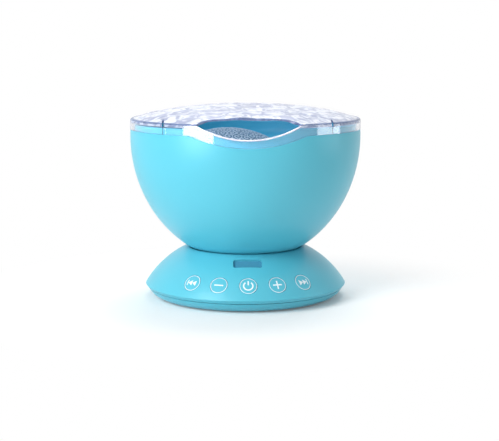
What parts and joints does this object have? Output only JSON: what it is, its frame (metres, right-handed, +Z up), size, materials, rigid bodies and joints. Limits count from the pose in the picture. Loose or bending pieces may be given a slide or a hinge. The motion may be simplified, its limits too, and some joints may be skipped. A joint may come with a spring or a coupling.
{
  "type": "light projector",
  "caption": "Bedside light projector: bowl lamp head with clear rippled cover and turning wave dome, leaning in a round dished base with push buttons and a speaker.",
  "frame": {"origin": "centre of the ring of feet, on the surface that the base stands on", "axes": "+Z up through the bowl, -Y towards the buttons and the finger notch, +X to their right"},
  "size_m": [0.13, 0.13, 0.11],
  "materials": {
    "teal_abs": "satin moulded ABS",
    "teal_caps": "satin moulded ABS with white printing",
    "clear_pc": "clear moulded polystyrene with ripples",
    "wave_lens": "clear moulded plastic with a wave pattern",
    "smoked_window": "dark tinted acrylic",
    "black_plastic": "matte black plastic",
    "white_plastic": "white moulded plastic",
    "board_green": "solder-masked board",
    "gear_nylon": "natural acetal",
    "steel": "zinc-plated steel",
    "lamp_epoxy": "clear epoxy",
    "paper_cone": "pressed paper",
    "foot_rubber": "soft rubber",
    "felt": "pressed felt"
  },
  "bodies": {
    "base": {"base_cover": "teal_abs", "base_tray": "teal_abs", "rubber_feet": "foot_rubber", "base_screws": "steel", "ir_window": "smoked_window", "ir_receiver": "black_plastic", "control_board": "board_green", "board_parts": "black_plastic", "board_screws": "steel", "usb_socket": "steel", "audio_jack": "black_plastic", "switch_carrier": "white_plastic", "tact_switches": "black_plastic", "carrier_screws": "steel", "speaker_gasket": "felt", "speaker_basket": "steel", "speaker_cone": "paper_cone", "speaker_magnet": "steel", "friction_ring": "felt", "tilt_post": "white_plastic", "tilt_saddle": "white_plastic", "clamp_spring": "steel", "clamp_nut": "steel"},
    "bowl": {"bowl_shell": "teal_abs", "inner_deck": "teal_abs", "deck_screws": "steel", "lamp_chassis": "white_plastic", "chassis_screws": "steel", "led_board": "board_green", "led_lamps": "lamp_epoxy", "motor_gearbox": "white_plastic", "gear_motor": "steel", "motor_screws": "steel"},
    "wave_dome": {"wave_dome": "wave_lens", "dome_ring_gear": "gear_nylon"},
    "pinion": {"drive_pinion": "gear_nylon", "output_shaft": "steel"},
    "cover": {"clear_cover": "clear_pc"},
    "button_previous": {"button_previous": "teal_caps"},
    "button_volume_down": {"button_volume_down": "teal_caps"},
    "button_power": {"button_power": "teal_caps"},
    "button_volume_up": {"button_volume_up": "teal_caps"},
    "button_next": {"button_next": "teal_caps"}
  },
  "joints": [
    {"name": "bowl_tilt", "type": "hinge", "parent": "base", "child": "bowl", "pos_m": [0, 0, 0.086], "axis": [1, 0, 0], "range_deg": [0, 22]},
    {"name": "dome_spin", "type": "hinge", "parent": "bowl", "child": "wave_dome", "pos_m": [-0.01, 0, 0.084], "axis": [0, 0, 1], "continuous": true},
    {"name": "pinion_spin", "type": "hinge", "parent": "bowl", "child": "pinion", "pos_m": [0.035, 0, 0.08], "axis": [0, 0, 1], "continuous": true},
    {"name": "cover_lift", "type": "slide", "parent": "bowl", "child": "cover", "axis": [0, 0, 1], "range_m": [0, 0.03]},
    {"name": "button_previous_press", "type": "slide", "parent": "base", "child": "button_previous", "axis": [0.4167, 0.5864, -0.6947], "range_m": [0, 0.0006], "stiffness_N_per_m": 300, "springref_m": -0.0005},
    {"name": "button_volume_down_press", "type": "slide", "parent": "base", "child": "button_volume_down", "axis": [0.2187, 0.6853, -0.6947], "range_m": [0, 0.0006], "stiffness_N_per_m": 300, "springref_m": -0.0005},
    {"name": "button_power_press", "type": "slide", "parent": "base", "child": "button_power", "axis": [0, 0.7193, -0.6947], "range_m": [0, 0.0006], "stiffness_N_per_m": 300, "springref_m": -0.0005},
    {"name": "button_volume_up_press", "type": "slide", "parent": "base", "child": "button_volume_up", "axis": [-0.2187, 0.6853, -0.6947], "range_m": [0, 0.0006], "stiffness_N_per_m": 300, "springref_m": -0.0005},
    {"name": "button_next_press", "type": "slide", "parent": "base", "child": "button_next", "axis": [-0.4167, 0.5864, -0.6947], "range_m": [0, 0.0006], "stiffness_N_per_m": 300, "springref_m": -0.0005}
  ],
  "couplings": [
    {"joint": "pinion_spin", "follows": "dome_spin", "ratio": -4}
  ]
}
